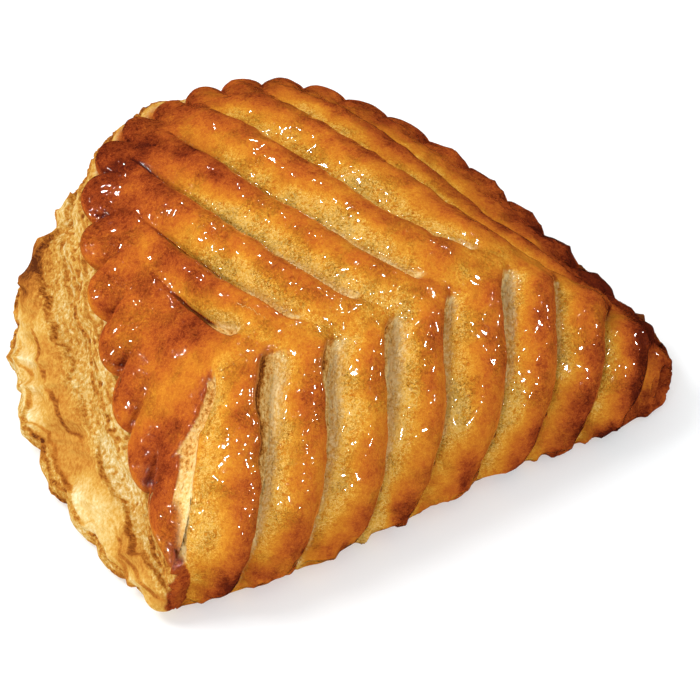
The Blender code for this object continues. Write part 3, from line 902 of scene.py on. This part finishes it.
def glaze_colour(n, ripple, pale, crease_shade):
    """Egg wash over baked crust: mottled, with pale ripples that are partly pale crackle and partly painted
    highlights on the glaze's wrinkles, and a painted dark line of shade in the shut creases.
    """
    mottle = n.math("SUBTRACT", n.noise(0.0030, 5.0, 0.7), 0.5)
    grain = n.math("SUBTRACT", n.noise(0.0007, 3.0, 0.7), 0.5)
    crackle_and_painted_glints = n.math("SUBTRACT", 1.0, n.spread(ripple, 0.0, 0.05))
    bake = n.math("MULTIPLY_ADD", mottle, 0.4, n.field("bake"))
    bake = n.math("MULTIPLY_ADD", grain, n.math("MULTIPLY_ADD", pale, 0.6, 0.4), bake)
    # Paler along the ripple lines: partly pale crackle, partly painted highlights standing in for glints on
    # the wrinkled glaze
    bake = n.math("MULTIPLY_ADD", crackle_and_painted_glints, n.math("MULTIPLY_ADD", pale, -0.26, -0.12), bake)
    # Painted shade: darker along the shut creases
    bake = n.math("MULTIPLY_ADD", crease_shade, 0.5, bake)
    return n.ramp(bake, GLAZE_STOPS)


def torn_colour(n, slash, flecks, leaves, rough):
    """Dry layers of the wall, and the layers that a slash cut, with painted shade on a slash's steep side and
    painted light on its right slope.
    """
    leafy = n.math("MULTIPLY", n.math("SUBTRACT", leaves, 0.5), rough)
    tone = n.math("MULTIPLY_ADD", leafy, 0.75, n.field("tone"))
    amount = n.math("MULTIPLY_ADD", rough, 1.4, 0.35)
    tone = n.math("MULTIPLY_ADD", n.math("SUBTRACT", flecks, 0.5), amount, tone)
    # Painted shade on a slash's steep left side, and painted light that makes its right slope paler
    tone = n.math("MULTIPLY_ADD", n.math("MULTIPLY", slash.gape, slash.shade), 0.5, tone)
    lit = n.math("MULTIPLY", slash.gape, n.spread(slash.across, -0.5, 0.4))
    tone = n.math("MULTIPLY_ADD", lit, -0.2, tone)
    return n.mix(slash.gape, n.ramp(tone, DRY_STOPS), n.ramp(tone, CUT_STOPS))


def crust_normal(n, ripple, pale, leaves, rough, shine):
    """Fine wrinkles of the glaze, the grain of pale crust, and the edges of thin layers."""
    wet = n.spread(n.noise(0.007, 2.0, 0.5), 0.45, 0.62)
    wrinkled = n.math("MULTIPLY", shine, n.math("MULTIPLY_ADD", wet, 0.65, 0.35))
    normal = n.bump(n.math("SMOOTH_MAX", ripple, 0.015, 0.03), -0.0013, wrinkled)
    uneven = n.math("MULTIPLY_ADD", pale, 0.7, n.math("MULTIPLY_ADD", rough, 0.6, 0.2), clamp=True)
    normal = n.bump(n.noise(0.0005, 2.0, 0.55), 0.0007, uneven, normal)
    return n.bump(leaves, 0.0010, n.math("MULTIPLY", rough, 0.8), normal)


def crust_material():
    """Egg-washed puff pastry: glossy where it is glazed, dry and layered where it is torn or cut."""
    material = bpy.data.materials.new("baked_crust_look")
    n = Nodes(material)
    flecks = n.noise(0.0009, 3.0, 0.7)
    leaves = n.noise(1.0, 3.0, 0.6, n.field("strata", "Vector"), (0.25, 1.3, 1.0), 0.8)
    ripple = n.math("ABSOLUTE", n.math("SUBTRACT", n.noise(0.0007, 2.0, 0.6, distortion=0.8), 0.5))
    pale = n.spread(n.field("bake"), 0.52, 0.30)
    slash = SlashLook(n, flecks)
    rough = n.math("MAXIMUM", n.field("layered"), slash.gape)
    dry = n.math("MAXIMUM", n.field("dry"), slash.gape)
    shine = n.math("SUBTRACT", 1.0, dry)

    glazed = glaze_colour(n, ripple, pale, slash.crease_shade)
    torn = torn_colour(n, slash, flecks, leaves, rough)
    n.put(n.shader.inputs["Base Color"], n.mix(dry, glazed, torn))
    n.put(n.shader.inputs["Roughness"], n.math("MULTIPLY_ADD", dry, 0.35, 0.45, clamp=True))
    n.put(n.shader.inputs["Coat Weight"], shine)
    n.shader.inputs["Coat Roughness"].default_value = 0.05
    n.shader.inputs["Specular IOR Level"].default_value = 0.0
    n.put(n.shader.inputs["Normal"], crust_normal(n, ripple, pale, leaves, rough, shine))
    return material


def turnover():
    points, faces, fields = crust_mesh()
    mesh = bpy.data.meshes.new("turnover_crust")
    mesh.from_pydata(((points - ORIGIN) * MM).tolist(), [], faces)
    for name, values in fields.items():
        if values.ndim > 1:
            mesh.attributes.new(name, "FLOAT_VECTOR", "POINT").data.foreach_set("vector", values.ravel())
        else:
            mesh.attributes.new(name, "FLOAT", "POINT").data.foreach_set("value", values.ravel())
    mesh.shade_smooth()
    mesh.materials.append(crust_material())
    obj = bpy.data.objects.new("turnover_crust", mesh)
    bpy.context.scene.collection.objects.link(obj)
    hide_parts(NODE)
    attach(obj, "root")
    return obj


# ---- Stage ----


def place_camera():
    turn, lift = CAMERA_TURN, CAMERA_LIFT
    back = Vector((math.sin(turn) * math.cos(lift), -math.cos(turn) * math.cos(lift), math.sin(lift)))
    right = Vector((math.cos(turn), math.sin(turn), 0.0))
    up = back.cross(right)
    aim = Vector((np.array(AIM) - ORIGIN) * MM)
    across, rise = ((PICTURE_SIDE / 2 - pixel) / FOCAL_PIXELS * CAMERA_DISTANCE for pixel in AIM_PIXEL)
    aim += right * across - up * rise
    camera = bpy.data.objects.new("camera", bpy.data.cameras.new("camera"))
    camera.location = aim + back * CAMERA_DISTANCE
    camera.rotation_euler = back.to_track_quat("Z", "Y").to_euler()
    camera.data.sensor_width = 36.0
    camera.data.lens = 36.0 * FOCAL_PIXELS / PICTURE_SIDE
    camera.data.clip_end = 10.0
    bpy.context.scene.collection.objects.link(camera)
    bpy.context.scene.camera = camera


def place_light(name, place, size, power, lit):
    """A round light that points at the origin, and lights one kind of reflection: diffuse or glossy."""
    light = bpy.data.lights.new(name, "AREA")
    light.shape = "DISK"
    light.size = size
    light.energy = power
    obj = bpy.data.objects.new(name, light)
    obj.location = place
    obj.rotation_euler = Vector(place).to_track_quat("Z", "Y").to_euler()
    obj.visible_diffuse = lit == "diffuse"
    obj.visible_glossy = lit == "glossy"
    bpy.context.scene.collection.objects.link(obj)


# Where the small lights stand that the glaze mirrors
GLINTS = (
    (-0.3, 0.1, 1.0),
    (-0.9, -0.1, 0.5),
    (0.4, -0.75, 0.6),
    (-0.5, -0.9, 0.5),
    (-0.7, 0.5, 0.7),
    (0.55, 0.1, 0.9),
    (0.0, -0.5, 1.0),
    (-0.2, -1.0, 0.25),
    (0.1, 0.5, 0.9),
    (-0.6, -0.45, 0.9),
    (0.25, -0.3, 1.0),
    (-0.05, -0.8, 0.6),
    (0.8, -0.4, 0.5),
    (-1.0, 0.25, 0.3),
)


def light_scene():
    place_light("key", (-0.55, 0.35, 1.0), 0.5, 7.5, "diffuse")
    place_light("fill", (-0.9, -0.6, 0.6), 0.8, 2.8, "diffuse")
    for number, place in enumerate(GLINTS):
        place_light("glint_%d" % number, place, 0.045, 1.1, "glossy")
    world = bpy.data.worlds.new("studio")
    bpy.context.scene.world = world
    world.use_nodes = True
    background = world.node_tree.nodes["Background"]
    background.inputs["Color"].default_value = (1.0, 1.0, 1.0, 1.0)
    background.inputs["Strength"].default_value = 0.85
    world.cycles_visibility.glossy = False
    bpy.context.scene.view_settings.view_transform = "Standard"


def lay_floor():
    half = 3.0
    corners = [(-half, -half, 0.0), (half, -half, 0.0), (half, half, 0.0), (-half, half, 0.0)]
    mesh = bpy.data.meshes.new("floor")
    mesh.from_pydata(corners, [], [(0, 1, 2, 3)])
    material = bpy.data.materials.new("floor_paper")
    n = Nodes(material)
    n.shader.inputs["Base Color"].default_value = (0.60, 0.62, 0.63, 1.0)
    n.shader.inputs["Roughness"].default_value = 0.9
    n.shader.inputs["Emission Color"].default_value = (1.0, 1.0, 1.0, 1.0)
    n.shader.inputs["Emission Strength"].default_value = 0.40
    material.cycles.emission_sampling = "NONE"
    mesh.materials.append(material)
    floor = bpy.data.objects.new("floor", mesh)
    bpy.context.scene.collection.objects.link(floor)
    floor.visible_glossy = False


turnover()
place_camera()
light_scene()
lay_floor()

bpy.context.view_layer.update()
